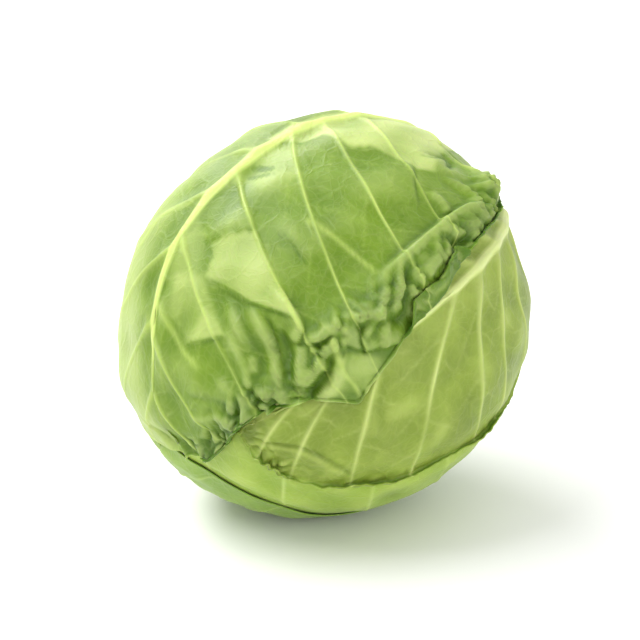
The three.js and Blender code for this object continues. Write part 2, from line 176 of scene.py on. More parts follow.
# turn: degrees round the stump of its midrib. middle: degrees from the stump of the plan's
# middle. bend: how far the midrib strays sideways. bow: how far side veins bow to the tip.
# Side veins: y where it leaves the midrib, x and y where it meets the edge.
LEAVES = [
    dict(name="left_leaf", turn=290, middle=98, bend=-6, bow=0.07, tip=118,
         right=[(-131, 12, -136), (-112, 40, -114), (-90, 68, -76), (-62, 84, -34),
                (-34, 88, 4), (-4, 86, 42), (30, 70, 78), (66, 38, 106), (100, 4, 117)],
         left=[(-131, -12, -136), (-112, -40, -114), (-90, -66, -78), (-62, -80, -36),
               (-34, -84, 2), (-4, -80, 40), (30, -66, 76), (66, -36, 104), (100, 4, 117)]),
    dict(name="bottom_leaf", turn=180, middle=100, bend=-8, bow=0.07, tip=142,
         right=[(-134, 12, -139), (-114, 38, -116), (-90, 60, -80), (-60, 74, -40),
                (-28, 78, 4), (6, 76, 48), (42, 66, 88), (80, 40, 122), (122, 2, 141)],
         left=[(-134, -12, -139), (-114, -46, -118), (-90, -84, -84), (-60, -98, -38),
               (-28, -102, 6), (6, -98, 50), (42, -85, 97), (80, -44, 133), (122, 2, 141)]),
    dict(name="right_leaf", turn=74.2, middle=95, bend=0, bow=0.07, tip=86,
         right=[(-126, 12, -132), (-112, 38, -116), (-96, 63, -86), (-78, 78, -52),
                (-61, 80, -24), (-42, 77, -6), (-24, 66, 30), (12, 53, 56), (34, 34, 77),
                (56, 16, 83), (76, 2, 86)],
         left=[(-126, -12, -132), (-112, -38, -116), (-96, -60, -88), (-78, -72, -58),
               (-61, -76, -30), (-42, -76, -2), (-24, -68, 28), (12, -54, 54),
               (34, -34, 74), (56, -16, 83), (76, 2, 86)]),
    dict(name="back_leaf", turn=228, middle=100, bend=8, bow=0.07, tip=124,
         right=[(-134, 12, -139), (-114, 36, -117), (-90, 58, -82), (-60, 71, -44),
                (-28, 75, -2), (6, 73, 38), (40, 64, 76), (76, 40, 106), (110, 10, 123)],
         left=[(-134, -12, -139), (-114, -42, -118), (-90, -74, -76), (-60, -95, -26),
               (-28, -97, 20), (6, -88, 58), (40, -70, 96), (76, -34, 119), (110, 10, 123)]),
    dict(name="front_leaf", turn=0, middle=100, bend=17, bow=0.01, tip=124,
         right=[(-134, 12, -139), (-120, 46, -122), (-98, 83, -85), (-72, 101, -40),
                (-54, 112, -6), (-38, 113, 40), (-6, 103, 60), (30, 64, 83), (72, 45, 107),
                (92, 27, 120), (114, 17, 124)],
         left=[(-134, -12, -139), (-120, -40, -118), (-98, -70, -86), (-72, -86, -46),
               (-46, -93, -8), (-20, -92, 30), (8, -84, 62), (36, -64, 90), (66, -38, 108),
               (92, -12, 119), (114, 17, 124)]),
]
EDGE_STEPS = 10  # points of a leaf's outline from one side vein to the next
PLAN_HALF = 165  # a leaf's plan fits in a square of this half width


def through(rows, t):
    """A smooth curve through rows of numbers, read at t from 0 to the last row."""
    rows = np.asarray(rows, float)
    last = len(rows) - 1
    i = np.minimum(np.floor(t).astype(int), last - 1)
    f = (t - i)[..., None]
    a, b, c, d = (rows[np.clip(i + k, 0, last)] for k in (-1, 0, 1, 2))
    return b + 0.5 * f * (c - a + f * (2 * a - 5 * b + 4 * c - d + f * (3 * (b - c) + d - a)))


def vein_ends(leaf, side, v):
    row = through(leaf[side], v)
    bent = np.clip((row[..., 0] - MIDRIB_STRAIGHT) / (leaf["tip"] - MIDRIB_STRAIGHT), 0, 1)
    start = np.stack([leaf["bend"] * bent ** MIDRIB_CURVE, row[..., 0]], -1)
    return start, row[..., 1:]


def plan_point(leaf, side, v, u):
    """Place in the plan: vein number v, and u from 0 at the midrib to 1 at the edge."""
    start, end = vein_ends(leaf, side, v)
    across = end - start
    bow = 4 * leaf["bow"] * u * (1 - u) * np.sign(across[..., 0])
    sideways = np.stack([-across[..., 1], across[..., 0]], -1)
    return start + across * u[..., None] + sideways * bow[..., None]


def to_direction(leaf, x, y):
    length = np.maximum(np.hypot(x, y), 1e-9)
    angle = length / PLANE_RADIUS
    n = (np.cos(angle)[..., None] * leaf["centre"]
         + (np.sin(angle) * x / length)[..., None] * leaf["across"]
         + (np.sin(angle) * y / length)[..., None] * leaf["along"])
    axial = n @ STUMP_WAY
    round_way = n - axial[..., None] * STUMP_WAY
    round_way /= np.linalg.norm(round_way, axis=-1)[..., None]
    collar = math.radians(COLLAR)
    clear = math.cos(collar) * STUMP_WAY + math.sin(collar) * round_way
    return np.where((axial > math.cos(collar))[..., None], clear, n)


def to_plan(leaf, n):
    angle = np.arccos(np.clip(n @ leaf["centre"], -1, 1))
    x, y = n @ leaf["across"], n @ leaf["along"]
    scale = PLANE_RADIUS * angle / np.maximum(np.hypot(x, y), 1e-9)
    return x * scale, y * scale


def inside_outline(points, x, y):
    """Distance inside a closed outline, negative outside it."""
    nearest = np.full(x.shape, np.inf)
    inside = np.zeros(x.shape, bool)
    for (ax, ay), (bx, by) in zip(np.roll(points, 1, axis=0), points):
        dx, dy = bx - ax, by - ay
        t = np.clip(((x - ax) * dx + (y - ay) * dy) / max(dx * dx + dy * dy, 1e-9), 0, 1)
        nearest = np.minimum(nearest, (ax + dx * t - x) ** 2 + (ay + dy * t - y) ** 2)
        if dy:
            inside ^= ((ay > y) != (by > y)) & (x < ax + (y - ay) / dy * dx)
    return np.where(inside, 1, -1) * np.sqrt(nearest)


def inside_leaf(leaf, n):
    """How far inside a leaf's edge each direction lies, read from its square of distances."""
    x, y = to_plan(leaf, n)
    x = np.clip(x + PLAN_HALF, 0, 2 * PLAN_HALF - 1.001)
    y = np.clip(y + PLAN_HALF, 0, 2 * PLAN_HALF - 1.001)
    i, j = x.astype(int), y.astype(int)
    f, g = x - i, y - j
    d = leaf["inside"]
    return ((d[i, j] * (1 - f) + d[i + 1, j] * f) * (1 - g)
            + (d[i, j + 1] * (1 - f) + d[i + 1, j + 1] * f) * g)


for leaf in LEAVES:
    leaf["centre"] = direction(leaf["middle"], leaf["turn"])
    leaf["along"] = direction(leaf["middle"] + 90, leaf["turn"])
    leaf["across"] = np.cross(STUMP_WAY, leaf["centre"])
    leaf["across"] /= np.linalg.norm(leaf["across"])
    steps = np.linspace(0, len(leaf["right"]) - 1, EDGE_STEPS * (len(leaf["right"]) - 1) + 1)
    outline = [vein_ends(leaf, "right", steps)[1], vein_ends(leaf, "left", steps[::-1])[1]]
    plan = np.arange(-PLAN_HALF, PLAN_HALF + 1.0)
    plan_x, plan_y = np.meshgrid(plan, plan, indexing="ij")
    leaf["inside"] = inside_outline(np.concatenate(outline), plan_x, plan_y)


def layers_at(n, k, press=(6, 0)):
    """Radius of the underside of leaf k, the air under it, how open its outside is, and the
    head's radius. press: how far outside an outer leaf's edge, and how far inside it, the
    leaf is pressed.
    """
    under = heart_radius(n) + CLEARANCE
    whole = under - CLEARANCE
    beneath = whole.copy()
    open_air = np.ones(n.shape[:-1])
    for j, leaf in enumerate(LEAVES):
        inside = inside_leaf(leaf, n)
        cover = smooth(-COVER_REACH - DRAPE, -COVER_REACH, inside)
        if j < k:
            present = smooth(-5, -2, inside)
            beneath = np.maximum(beneath, present * (under + BLADE) + (1 - present) * beneath)
            under = under + LAYER * cover
        if j > k:
            open_air = open_air * (1 - smooth(-press[0], press[1], inside))
        whole = whole + LAYER * (np.ones_like(cover) if j == k else cover)
    depth = -n[..., 2] * whole
    open_air = open_air * (1 - smooth(HEAD_MIDDLE[2] - FLOOR_CLEAR, HEAD_MIDDLE[2] - 2, depth))
    return under, np.maximum(under - beneath - MARGIN_GAP, 0), open_air, whole


def along_line(x, y, points):
    """For each place near a line of points: signed distance from it (left is positive),
    how far along it from 0 to 1, and the line's sideways way there."""
    points = np.asarray(points, float)
    lengths = np.linalg.norm(np.diff(points, axis=0), axis=1)
    ends = np.concatenate([[0], np.cumsum(lengths)]) / lengths.sum()
    distance = np.full(x.shape, 1e3)
    share = np.zeros(x.shape)
    side_x, side_y = np.zeros(x.shape), np.zeros(x.shape)
    for i, (start, end) in enumerate(zip(points, points[1:])):
        dx, dy = (end - start) / lengths[i]
        t = np.clip((x - start[0]) * dx + (y - start[1]) * dy, 0, lengths[i])
        px, py = x - start[0] - dx * t, y - start[1] - dy * t
        d = np.hypot(px, py) * np.where(py * dx - px * dy >= 0, 1, -1)
        closer = np.abs(d) < np.abs(distance)
        distance = np.where(closer, d, distance)
        share = np.where(closer, ends[i] + (ends[i + 1] - ends[i]) * t / lengths[i], share)
        side_x, side_y = np.where(closer, -dy, side_x), np.where(closer, dx, side_y)
    return distance, share, side_x, side_y


def curved(points, steps=6):
    """More points on a smooth curve through a few."""
    return through(points, np.linspace(0, len(points) - 1, steps * (len(points) - 1) + 1))


def facets(x, y, seed, size):
    """Flat facets between sharp ridges, as in crumpled paper, from -1 to 1."""
    draw = np.random.default_rng(seed)
    bend_x, bend_y = Ripples(seed + 1, 2.4 * size), Ripples(seed + 2, 2.4 * size)
    wx = x + 0.3 * size * bend_x(x, y)
    wy = y + 0.3 * size * bend_y(x, y)
    total = 0.0
    for turn in np.arange(4) * math.pi / 4 + draw.uniform(-0.25, 0.25, 4):
        pitch = size * draw.uniform(0.75, 1.4)
        t = (wx * math.cos(turn) + wy * math.sin(turn)) / pitch + draw.uniform()
        total = total + (1 - 4 * np.abs(t - np.floor(t) - 0.5)) * draw.uniform(0.6, 1.0)
    return total / 2


def inside_patch(x, y, points, soft):
    """1 inside a patch of the plan and 0 outside, with an edge as soft as given."""
    return smooth(-soft, soft, inside_outline(np.array(points, float), x, y))


def spread(*stretches):
    """Rising numbers over several stretches, each given as its start, end and step count."""
    parts = [np.linspace(start, end, steps, endpoint=False) for start, end, steps in stretches]
    return np.concatenate(parts + [[stretches[-1][1]]])


def vein_rows(*stretches):
    """Vein numbers spread likewise, but closer together at the veins than between them."""
    rows = spread(*stretches)
    return rows - 0.4 * np.sin(2 * math.pi * rows) / (2 * math.pi)


class Relief:
    """What stands out of a blade, summed over a leaf's plan: height, lean, veins and shade,
    which holds the blade's own tone together with painted light and shade.
    """

    def __init__(self, x, y, v, u, side, from_edge):
        self.x, self.y, self.v, self.u, self.side = x, y, v, u, side
        self.from_edge = from_edge
        self.lift = np.zeros(x.shape)
        self.lean_x, self.lean_y = np.zeros(x.shape), np.zeros(x.shape)
        self.rib = np.zeros(x.shape)
        self.vein = np.zeros(x.shape)
        self.shade = np.zeros(x.shape)

    def copy_flat(self):
        """The same places of the plan with nothing on them yet."""
        return Relief(self.x, self.y, self.v, self.u, self.side, self.from_edge)

    def fold(self, points, height, left, right, lean=0.0, taper=0.3, shade=0.0):
        """A sharp ridge along a line, rising over its first part. left and right are its
        slopes' widths, and lean carries its crest over to the right, so that it overhangs.
        shade paints colour along the crest: paler on a ridge, a painted highlight, and darker
        in a valley, painted shade."""
        d, share, side_x, side_y = along_line(self.x, self.y, curved(points))
        ends = smooth(0, taper, share) * smooth(1, 0.86, share)
        off = np.abs(d / np.where(d > 0, left, right))
        shape = np.exp(-off * (0.55 + 0.45 * np.minimum(off, 2))) * ends
        self.lift += height * shape
        self.lean_x -= lean * shape * side_x
        self.lean_y -= lean * shape * side_y
        self.shade += shade * shape

    def crease(self, points, depth, width, step=0.0, reach=12.0, shade=-0.6):
        """A sharp groove with painted shade along it, and a step up to its left that dies
        away within reach.
        """
        d, share, _, _ = along_line(self.x, self.y, curved(points))
        ends = smooth(0, 0.25, share) * smooth(1, 0.75, share)
        groove = hump(d, width) * ends
        self.lift += step * smooth(-width, width, d) * hump(np.maximum(d, 0), reach) * ends
        self.lift -= depth * groove
        self.shade += shade * hump(d, width * 1.3) * ends

    def side_vein(self, points, height, half, end_half=0.35, colour=1.0):
        d, share, _, _ = along_line(self.x, self.y, curved(points))
        width = half + (end_half - half) * share
        ends = smooth(1.0, 0.8, share)
        self.rib = np.maximum(self.rib, height * (1 - 0.7 * share) * hump(d, width) * ends)
        self.vein = np.maximum(self.vein, colour * hump(d, width * 1.25) * ends)

    def ribs(self, leaf, midrib_height, midrib_half, vein_height, vein_half, swell):
        """The midrib and the side veins, each with a wide low swell and a slim crest."""
        count = len(leaf["right"]) - 1
        share = self.v / count
        thick = midrib_height[0] + (midrib_height[1] - midrib_height[0]) * share ** 0.6
        wide = midrib_half[0] + (midrib_half[1] - midrib_half[0]) * share ** 0.6
        start = np.zeros(self.x.shape + (2,))
        end = np.zeros(self.x.shape + (2,))
        pitch = np.zeros(self.x.shape)
        for side in ("right", "left"):
            here = self.side == side
            start[here], end[here] = vein_ends(leaf, side, self.v[here])
            ahead = plan_point(leaf, side, np.minimum(self.v[here] + 0.05, count), self.u[here])
            behind = plan_point(leaf, side, np.maximum(self.v[here] - 0.05, 0), self.u[here])
            pitch[here] = np.linalg.norm(ahead - behind, axis=-1) / 0.1
        from_midrib = np.linalg.norm(end - start, axis=-1) * self.u
        number = np.round(self.v)
        is_vein = (number > 0) & (number < count)
        d = np.abs(self.v - number) * pitch
        half = vein_half[0] + (vein_half[1] - vein_half[0]) * self.u
        flare = 1 + 1.2 * hump(from_midrib, 9)
        fade = smooth(1.0, 0.86, self.u)
        crest = np.where(is_vein, hump(d, half * flare), 0)
        tall = vein_height[0] + (vein_height[1] - vein_height[0]) * self.u
        self.rib = np.maximum(self.rib, tall * crest * (0.3 + 0.7 * fade))
        self.rib = np.maximum(self.rib, thick * hump(from_midrib, wide * 0.62))
        self.lift += np.where(is_vein, swell * hump(d, 5.0) * (1 - self.u) * fade, 0)
        patchy = 0.9 + 0.15 * Ripples(5, 40)(self.x, self.y)
        pale = 0.36 + 0.18 * np.sin(math.pi * self.u)
        self.vein = np.maximum(self.vein, crest * patchy * pale)
        near_tip = smooth(count, count - 2.5, self.v)
        flat_top = smooth(1.3, 0.5, from_midrib / (wide * 0.5))
        self.vein = np.maximum(self.vein, flat_top * near_tip)

    def small_veins(self, leaf, seed, per_gap=3, height=0.14, half=0.7, colour=0.12):
        """Slim veins that branch off the side veins and wander towards the edge."""
        draw = np.random.default_rng(seed)
        count = len(leaf["right"]) - 1
        for side in ("right", "left"):
            for gap in range(1, count - 1):
                near = (self.side == side) & (np.abs(self.v - gap - 0.5) < 0.6)
                for branch in range(2 * per_gap):
                    up = 1 if branch % 2 else -1
                    root_u = (branch + draw.uniform(0.3, 0.9)) * 0.85 / (2 * per_gap)
                    share = np.linspace(0, 1, 5)
                    us = root_u + share * draw.uniform(0.10, 0.2)
                    vs = up * draw.uniform(0.45, 0.7) * share ** 0.8
                    vs += gap + (0 if up > 0 else 1)
                    vs += np.concatenate([[0], draw.normal(0, 0.02, 4)])
                    line = plan_point(leaf, side, np.clip(vs, 0, count), np.minimum(us, 0.97))
                    if near.any():
                        self._small_vein(near, line, height, half, colour)

    def _small_vein(self, near, line, height, half, colour):
        d, share, _, _ = along_line(self.x[near], self.y[near], curved(line, 4))
        shape = hump(d, half * (1.1 - 0.6 * share)) * smooth(1.0, 0.7, share)
        self.rib[near] = np.maximum(self.rib[near], height * shape)
        self.vein[near] = np.maximum(self.vein[near], colour * shape)

    def quilt(self, leaf, height, size, seed):
        """The blade swells a little between its veins, and is never quite even."""
        between = np.abs(np.sin(math.pi * self.v)) * smooth(0.0, 0.25, self.u)
        between = between * (1 - 0.4 * self.u)
        lumps = Ripples(seed, size)(self.x, self.y)
        inner = 0.2 + 0.8 * smooth(0, 14, self.from_edge)
        rise = 0.55 * between + 0.35 * (lumps + 1) * smooth(0, 0.12, self.u)
        self.lift += height * inner * rise
        # The blade is painted a little paler where its lumps rise, a faint painted highlight.
        self.shade += 0.04 * lumps


def hollows(surface, normal, blurs=3):
    """How deep each place lies in a narrow fold: above 0 in a valley, below 0 on a ridge."""
    total = np.zeros(surface.shape[:2])
    for reach in (1, 3):
        for axis in (0, 1):
            size = surface.shape[axis]
            margins = [(reach, reach) if i == axis else (0, 0) for i in range(3)]
            padded = np.pad(surface, margins, mode="edge")
            before = np.take(padded, range(size), axis=axis)
            after = np.take(padded, range(2 * reach, size + 2 * reach), axis=axis)
            span = np.linalg.norm(after - before, axis=-1) + 0.5
            total += np.einsum("ijk,ijk->ij", (before + after) / 2 - surface, normal) / span
    for _ in range(blurs):
        padded = np.pad(total, 1, mode="edge")
        total = (padded[:-2, 1:-1] + padded[2:, 1:-1] + padded[1:-1, :-2] + padded[1:-1, 2:]
                 + 2 * total) / 6
    return total * 4


def closed_blade(name, points, faces):
    """A closed mesh of the points that its faces use, turned outwards, and their numbers."""
    used, numbers = np.unique(faces, return_inverse=True)
    points = points[used]
    faces = numbers.reshape(faces.shape)
    a, b, c, d = (points[faces[:, i]] for i in (0, 1, 2, -1))
    volume = np.einsum("ij,ij->", a, np.cross(b, c)) + np.einsum("ij,ij->", a, np.cross(c, d))
    if volume < 0:
        faces = faces[:, ::-1]
    return new_piece(name, points, faces.tolist()), used


def leaf_blade(k, rows, right_u, left_u, relief_of, hem=None, press=(6, 0), hem_columns=8):
    """One wrapper leaf as a closed blade: a middle surface with its two faces set off it.

    rows holds the right side's vein number for each row, and right_u and left_u hold as many
    places as each other from the midrib to the edge. relief_of(leaf, relief) adds relief.
    hem(side, v) gives the width that is rolled back past the edge, the radius of the roll,
    how far round it goes in degrees, and how far the blade stops short of its plan.
    """
    leaf = LEAVES[k]
    count = len(leaf["right"]) - 1
    columns = len(right_u) - 1
    hem_share = np.linspace(0, 1, hem_columns + 1)[1:]
    total = columns + hem_columns
    column = np.arange(-total, total + 1)
    ladder = np.linspace(0, count, 60 * count + 1)
    on_midrib = through(leaf["left"], ladder)[:, 0]
    left_rows = np.interp(through(leaf["right"], rows)[:, 0], on_midrib, ladder)
    v = np.where(column[None, :] < 0, left_rows[:, None], rows[:, None])
    side = np.where(column < 0, "left", "right")[None, :].repeat(len(rows), axis=0)
    side[-1] = "right"
    steps = np.abs(column)
    u = np.where(side == "right", right_u[np.minimum(steps, columns)],
                 left_u[np.minimum(steps, columns)])
    past = np.where(steps > columns, hem_share[np.maximum(steps - columns - 1, 0)], 0.0)

    place = np.zeros(v.shape + (2,))
    way = np.zeros(v.shape + (2,))
    length = np.zeros(v.shape)
    width, radius, round_to = np.zeros(v.shape), np.ones(v.shape), np.zeros(v.shape)
    for name in ("right", "left"):
        here = side == name
        start, end = vein_ends(leaf, name, v[here])
        span = np.linalg.norm(end - start, axis=-1)
        if hem:
            width[here], radius[here], round_to[here], short = hem(name, v[here])
            u[here] *= 1 - short / span
            span = span - short
        place[here] = plan_point(leaf, name, v[here], u[here])
        length[here] = span
        way[here] = (end - start) / np.maximum(span, 1e-6)[:, None]
    beyond = past[None, :] * width
    turned = np.minimum(beyond / radius, np.radians(round_to))
    straight = np.maximum(beyond - radius * np.radians(round_to), 0)
    outwards = radius * np.sin(turned) + straight * np.cos(np.radians(round_to))
    raised = radius * (1 - np.cos(turned)) + straight * np.sin(np.radians(round_to))
    place = place + way * outwards[..., None]
    from_edge = np.where(beyond > 0, -outwards, (1 - u / u[:, [0]]) * length)

    relief = Relief(place[..., 0], place[..., 1], v, u, side, from_edge)
    relief_of(leaf, relief)
    x = place[..., 0] + relief.lean_x
    y = place[..., 1] + relief.lean_y
    n = to_direction(leaf, x, y)
    under, air, open_air, whole = layers_at(n, k, press)
    rib = np.where(beyond > 0, relief.rib * 0.3, relief.rib) * open_air
    lift = (relief.lift + raised) * open_air
    lie_down = air * smooth(*LIE_DOWN, from_edge)
    r = settled(n, under - lie_down + BLADE / 2 + lift, whole)
    surface = HEAD_MIDDLE + n * r[..., None]

    surface[-1, :total] = surface[-1, total + 1:][::-1]
    normal = np.cross(np.gradient(surface, axis=0), np.gradient(surface, axis=1))
    normal /= np.maximum(np.linalg.norm(normal, axis=-1), 1e-9)[..., None]
    if np.einsum("ijk,ijk->", normal, n) < 0:
        normal = -normal
    thin = BLADE * (1 - THIN_EDGE[1] * smooth(THIN_EDGE[0], 0, from_edge))
    outer = surface + normal * (thin / 2 + rib)[..., None]
    inner = surface - normal * (thin / 2)[..., None]

    numbers = np.arange(v.size).reshape(v.shape)
    numbers[-1, :total] = numbers[-1, total + 1:][::-1]
    a, b = numbers[:-1, :-1].ravel(), numbers[:-1, 1:].ravel()
    c, d = numbers[1:, 1:].ravel(), numbers[1:, :-1].ravel()
    top = np.stack([a, b, c, d], 1)
    below = np.stack([d, c, b, a], 1) + v.size
    border = np.concatenate([numbers[0], numbers[1:, -1], numbers[-2:0:-1, 0]])
    following = np.roll(border, -1)
    wall = np.stack([following, border, border + v.size, following + v.size], 1)
    faces = np.concatenate([top, below, wall])
    points = np.concatenate([outer.reshape(-1, 3), inner.reshape(-1, 3)])
    piece, used = closed_blade("visual_" + leaf["name"], points, faces)

    plan_place = np.stack([place[..., 0], place[..., 1], np.zeros_like(v)], -1)
    # crease holds how deep each place lies in a fold, which the finish turns into painted shade
    # and painted highlights.
    fields = dict(vein=relief.vein, shade=relief.shade, plan=plan_place * MM,
                  crease=np.clip(hollows(surface, normal), -1, 1))
    for label, field in fields.items():
        field = field.reshape((v.size,) + field.shape[2:])
        give_attribute(piece, label, np.concatenate([field, field])[used])
    return piece


WAX_ROUGHNESS = 0.4
NET_SIZE = 0.011  # metres across a mesh of the net of veins


def leaf_finish(name, deep, green, pale, vein, midrib):
    """Waxy leaf: greens that drift over the blade, pale veins, a fine raised net, painted shade
    in the hollows of folds and painted highlights on their ridges.
    """
    material = bpy.data.materials.new(name)
    material.use_nodes = True
    nodes, links = material.node_tree.nodes, material.node_tree.links
    shader = nodes["Principled BSDF"]

    def node(kind, **inputs):
        made = nodes.new(kind)
        for key, value in inputs.items():
            made.inputs[key.replace("_", " ")].default_value = value
        return made

    def attribute(label, output="Fac"):
        made = nodes.new("ShaderNodeAttribute")
        made.attribute_name = label
        return made.outputs[output]

    def feed(socket, value):
        if isinstance(value, bpy.types.NodeSocket):
            links.new(value, socket)
        else:
            socket.default_value = value

    def mix(first, second, share):
        made = nodes.new("ShaderNodeMix")
        made.data_type = "RGBA"
        for socket, value in ((6, first), (7, second), (0, share)):
            feed(made.inputs[socket], value)
        return made.outputs[2]

    def maths(operation, *values, clamp=False):
        made = nodes.new("ShaderNodeMath")
        made.operation = operation
        made.use_clamp = clamp
        for i, value in enumerate(values):
            feed(made.inputs[i], value)
        return made.outputs[0]

    def times(value, factor, clamp=False):
        return maths("MULTIPLY", value, factor, clamp=clamp)

    where = attribute("plan", "Vector")
    broad = node("ShaderNodeTexNoise", Scale=42.0, Detail=6.0, Roughness=0.62)
    fine = node("ShaderNodeTexNoise", Scale=160.0, Detail=4.0, Roughness=0.6)
    net = node("ShaderNodeTexVoronoi", Scale=1 / NET_SIZE)
    net.feature = "DISTANCE_TO_EDGE"
    small_net = node("ShaderNodeTexVoronoi", Scale=3.1 / NET_SIZE)
    small_net.feature = "DISTANCE_TO_EDGE"
    warp = node("ShaderNodeTexNoise", Scale=70.0, Detail=2.0)
    links.new(where, warp.inputs["Vector"])
    warped = nodes.new("ShaderNodeMix")
    warped.data_type = "VECTOR"
    warped.inputs[0].default_value = 0.012
    links.new(where, warped.inputs[4])
    links.new(warp.outputs["Color"], warped.inputs[5])
    for texture in (net, small_net):
        links.new(warped.outputs[1], texture.inputs["Vector"])
    for texture in (broad, fine):
        links.new(where, texture.inputs["Vector"])

    # The shade attribute carries the blade's own tone together with painted light and shade from
    # the reliefs, and moves the colour between deep, green and pale.
    drift = maths("MULTIPLY_ADD", broad.outputs["Fac"], 1.5, -0.25)
    drift = maths("ADD", drift, times(attribute("shade"), 0.55))
    drift = maths("ADD", drift, times(fine.outputs["Fac"], 0.25), clamp=True)
    colour = mix(deep, green, drift)
    colour = mix(colour, pale, times(attribute("shade"), 0.9, clamp=True))
    net_line = maths("SUBTRACT", 1.0, times(net.outputs["Distance"], 9.0), clamp=True)
    fine_line = maths("SUBTRACT", 1.0, times(small_net.outputs["Distance"], 7.0), clamp=True)
    colour = mix(colour, pale, times(net_line, 0.06))
    colour = mix(colour, pale, times(fine_line, 0.06))
    # Painted shade: the hollows of folds are darkened towards the deep green. Painted highlight:
    # their ridges are lightened towards the pale green.
    hollow_shade = maths("MAXIMUM", attribute("crease"), 0.0)
    colour = mix(colour, deep, times(hollow_shade, 0.7, clamp=True))
    ridge = maths("MAXIMUM", times(attribute("crease"), -1.0), 0.0)
    colour = mix(colour, pale, times(ridge, 0.35, clamp=True))
    colour = mix(colour, vein, times(attribute("vein"), 1.15, clamp=True))
    thickest = times(maths("SUBTRACT", attribute("vein"), 0.6), 2.0, clamp=True)
    colour = mix(colour, midrib, thickest)
    links.new(colour, shader.inputs["Base Color"])

    relief = maths("ADD", times(net_line, 0.6), times(fine_line, 0.25))
    relief = maths("ADD", relief, times(fine.outputs["Fac"], 0.5))
    bump = node("ShaderNodeBump", Strength=0.35, Distance=0.0006)
    links.new(relief, bump.inputs["Height"])
    links.new(bump.outputs["Normal"], shader.inputs["Normal"])
    rough = maths("MULTIPLY_ADD", broad.outputs["Fac"], 0.18, WAX_ROUGHNESS)
    links.new(rough, shader.inputs["Roughness"])
    shader.inputs["Subsurface Weight"].default_value = 0.22
    shader.inputs["Subsurface Radius"].default_value = (0.5, 1.0, 0.15)
    shader.inputs["Subsurface Scale"].default_value = 0.003
    shader.inputs["Specular IOR Level"].default_value = 0.3
    shader.inputs["Sheen Weight"].default_value = 0.06
    shader.inputs["Sheen Roughness"].default_value = 0.45
    return material


def set_in_place(piece, material, node_name):
    piece.data.materials.append(material)
    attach(piece, "root")
    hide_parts(node_name)


# The heart's own surface
# Three broad inner leaves wind round it, so it shows low overlapping edges and faint veins.
# It is one solid here as in nature it is packed too tight to part.
HEART_GREEN = (0.42, 0.52, 0.18, 1)
HEART_PALE = (0.58, 0.64, 0.32, 1)
HEART_VEIN = (0.64, 0.70, 0.40, 1)
VEIN_DEPTH = 0.3  # the heart's skin lies this far below its veins

ring_angle = np.linspace(0, 180, HEART_RINGS + 1)[1:-1]
side_angle = np.linspace(0, 360, HEART_SIDES, endpoint=False)
from_stump, turn = np.meshgrid(ring_angle, side_angle, indexing="ij")
heart_n = direction(from_stump, turn)
wound = turn / 120 + from_stump / 150
step = HEART_STEPS * (wound - np.floor(wound)) ** 6
poles = smooth(0, 30, from_stump) * smooth(180, 150, from_stump)
heart_vein = hump(((turn * 9 / 360 + from_stump / 90) % 1) - 0.5, 0.03) * poles
heart_r = heart_radius(heart_n) - step * poles - VEIN_DEPTH * (1 - heart_vein)
heart_r = settled(heart_n, heart_r, layers_at(heart_n, -1)[-1])
pole_n = direction(np.array([0.0, 180.0]), 0)
pole_r = settled(pole_n, heart_radius(pole_n) - VEIN_DEPTH, layers_at(pole_n, -1)[-1])
heart, heart_points = ringed_solid("visual_heart", HEAD_MIDDLE + heart_n * heart_r[..., None],
                                   HEAD_MIDDLE + pole_n * pole_r[:, None])
heart_vein = np.concatenate([heart_vein.ravel(), [0, 0]])
give_attribute(heart, "vein", heart_vein * 0.6)
give_attribute(heart, "shade", np.zeros(len(heart_points)))
give_attribute(heart, "crease", np.zeros(len(heart_points)))
give_attribute(heart, "plan", heart_points * MM)
heart_skin = leaf_finish("heart_skin", HEART_GREEN, HEART_PALE, HEART_PALE, HEART_VEIN,
                         HEART_VEIN)
set_in_place(heart, heart_skin, "heart")


# The left leaf
# The innermost wrapper, a thin waxy blade round a thick midrib, grown from the stump and held
# by the leaves over it. Only a light strip of it shows, between the front and back leaves.
def left_relief(leaf, relief):
    relief.ribs(leaf, (4.0, 0.8), (10, 2.2), (0.9, 0.2), (1.5, 0.6), 0.5)
    relief.small_veins(leaf, 31)
    relief.quilt(leaf, 1.0, 26, 32)


left_leaf = leaf_blade(0, vein_rows((0, 8, 112)), spread((0, 1, 50)), spread((0, 1, 50)),
                       left_relief)
left_skin = leaf_finish("left_leaf_skin", (0.24, 0.36, 0.06, 1), (0.38, 0.50, 0.12, 1),
                        (0.56, 0.65, 0.26, 1), (0.58, 0.67, 0.26, 1), (0.68, 0.76, 0.38, 1))
set_in_place(left_leaf, left_skin, "left_leaf")


# The bottom leaf
# A light green wrapper leaf under the head, grown from the stump and held by the ones over
# it. Its left part shows below the right leaf's edge, past a dark crack.
def bottom_relief(leaf, relief):
    relief.ribs(leaf, (4.4, 0.8), (10, 2.2), (0.9, 0.2), (1.5, 0.6), 0.6)
    relief.small_veins(leaf, 41)
    relief.quilt(leaf, 1.1, 24, 42)


bottom_leaf = leaf_blade(1, vein_rows((0, 8, 128)), spread((0, 1, 60)), spread((0, 1, 60)),
                         bottom_relief)
bottom_skin = leaf_finish("bottom_leaf_skin", (0.17, 0.27, 0.02, 1), (0.30, 0.43, 0.05, 1),
                          (0.48, 0.58, 0.14, 1), (0.50, 0.61, 0.18, 1), (0.62, 0.71, 0.30, 1))
set_in_place(bottom_leaf, bottom_skin, "bottom_leaf")
